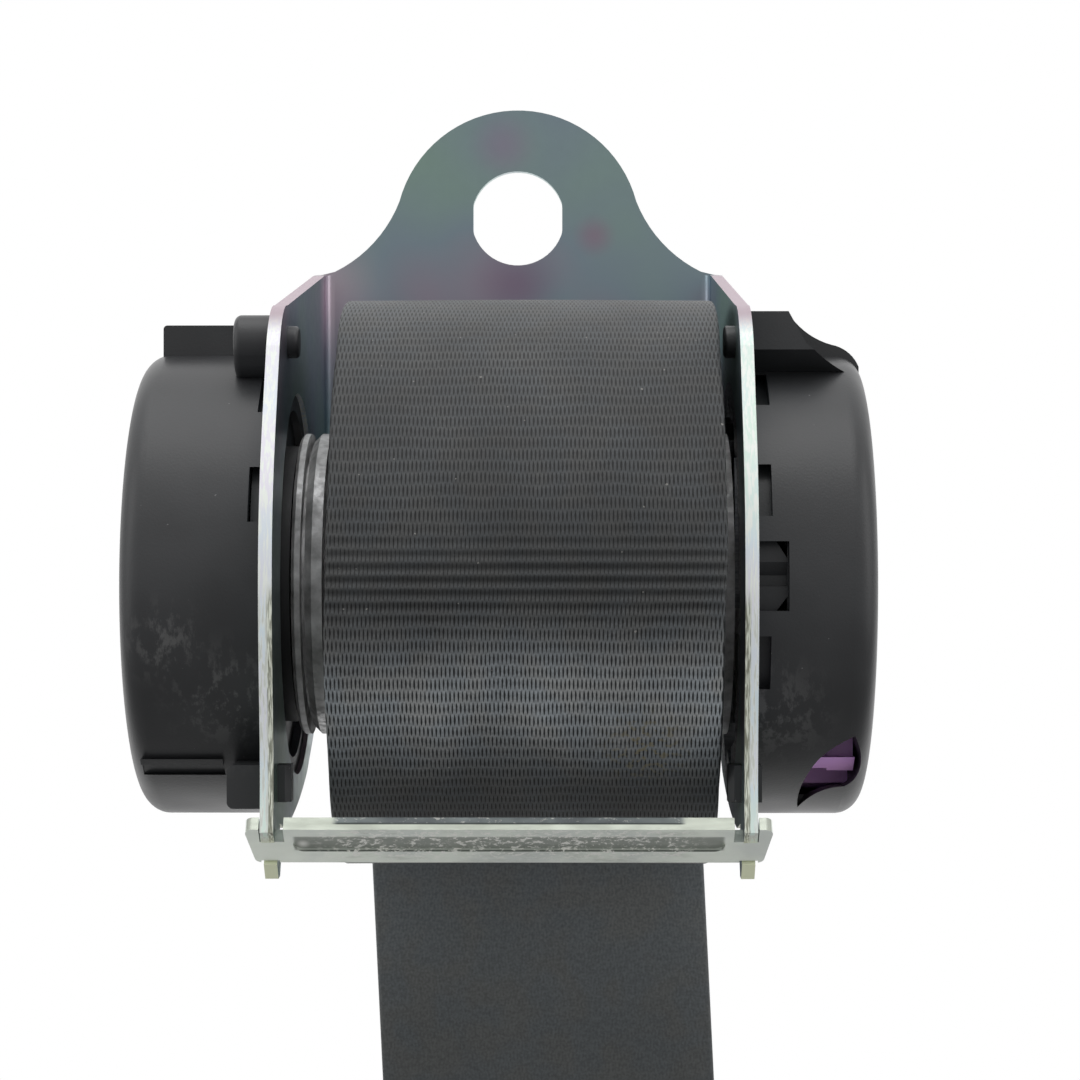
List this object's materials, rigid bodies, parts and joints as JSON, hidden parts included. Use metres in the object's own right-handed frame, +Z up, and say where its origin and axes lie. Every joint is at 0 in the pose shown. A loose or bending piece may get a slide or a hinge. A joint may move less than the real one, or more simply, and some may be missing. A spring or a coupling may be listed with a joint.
{
  "type": "seat belt retractor",
  "caption": "Emergency-locking seat belt retractor: folded steel frame with bolt tab, webbing on a spool, spring and lock covers, and a latch tongue on the webbing.",
  "frame": {"origin": "centre of the mounting hole at the back face of the frame", "axes": "+Z up along the frame towards the bolt tab, +X along the spool to the lock side, +Y to the back, into what the frame is bolted to"},
  "size_m": [0.0907, 0.0792, 0.2445],
  "materials": {
    "zinc_steel": "zinc plated, iridescent clear passivation",
    "plain_steel": "plain",
    "chromed_steel": "bright",
    "die_cast": "as cast",
    "black_plastic": "fine moulded grain",
    "white_plastic": "natural acetal",
    "purple_plastic": "moulded",
    "webbing": "woven polyester"
  },
  "bodies": {
    "frame": {"frame_bracket": "zinc_steel", "tie_bar": "zinc_steel", "lock_ring": "plain_steel", "spring_base_plate": "black_plastic", "spring_cover": "black_plastic", "clock_spring": "plain_steel", "mechanism_housing": "black_plastic", "sensor_housing": "purple_plastic", "mechanism_cover": "black_plastic", "push_pin_left": "black_plastic", "push_pin_right": "black_plastic"},
    "drum": {"spool": "die_cast", "torsion_bar": "plain_steel", "webbing_pin": "plain_steel", "spring_arbor": "white_plastic", "webbing_roll": "webbing"},
    "strand": {"webbing_strand": "webbing"},
    "tongue": {"tongue_plate": "chromed_steel", "tongue_grip": "black_plastic"},
    "dog": {"lock_dog": "plain_steel"},
    "clutch": {"clutch_wheel": "white_plastic"},
    "inertia": {"inertia_lever": "die_cast"},
    "ball": {"sensor_ball": "plain_steel"},
    "lever": {"sensor_lever": "white_plastic"}
  },
  "joints": [
    {"name": "drum_turn", "type": "hinge", "parent": "frame", "child": "drum", "pos_m": [0, -0.043, -0.0518], "axis": [-1, 0, 0], "range_deg": [0, 360], "stiffness_Nm_per_rad": 0.005, "springref_deg": -1432.39, "deforming": ["clock_spring"]},
    {"name": "webbing_payout", "type": "slide", "parent": "frame", "child": "strand", "axis": [0.0485, 0, -0.9988], "range_m": [0, 0.224]},
    {"name": "tongue_swing", "type": "hinge", "parent": "strand", "child": "tongue", "pos_m": [0.00654, -0.0091, -0.16667], "axis": [0.9988, 0, 0.0485], "range_deg": [-60, 60]},
    {"name": "clutch_lag", "type": "hinge", "parent": "drum", "child": "clutch", "pos_m": [0, -0.043, -0.0518], "axis": [1, 0, 0], "range_deg": [0, 15], "stiffness_Nm_per_rad": 0.02, "springref_deg": -34.38},
    {"name": "dog_swing", "type": "hinge", "parent": "drum", "child": "dog", "pos_m": [0, -0.055, -0.0518], "axis": [1, 0, 0], "range_deg": [0, 14.1]},
    {"name": "inertia_swing", "type": "hinge", "parent": "clutch", "child": "inertia", "pos_m": [0, -0.05146, -0.04872], "axis": [1, 0, 0], "range_deg": [0, 9], "stiffness_Nm_per_rad": 0.002, "springref_deg": -34.38},
    {"name": "ball_roll", "type": "slide", "parent": "frame", "child": "ball", "axis": [0, -0.7071, 0.7071], "range_m": [0, 0.0012]},
    {"name": "lever_lift", "type": "hinge", "parent": "frame", "child": "lever", "pos_m": [0, -0.0355, -0.0678], "axis": [-1, 0, 0], "range_deg": [0, 7.4]}
  ],
  "couplings": [
    {"joint": "webbing_payout", "follows": "drum_turn", "m_per_rad": 0.0356},
    {"joint": "dog_swing", "follows": "clutch_lag", "ratio": 0.93333},
    {"joint": "ball_roll", "follows": "lever_lift", "m_per_rad": 0.009174}
  ]
}
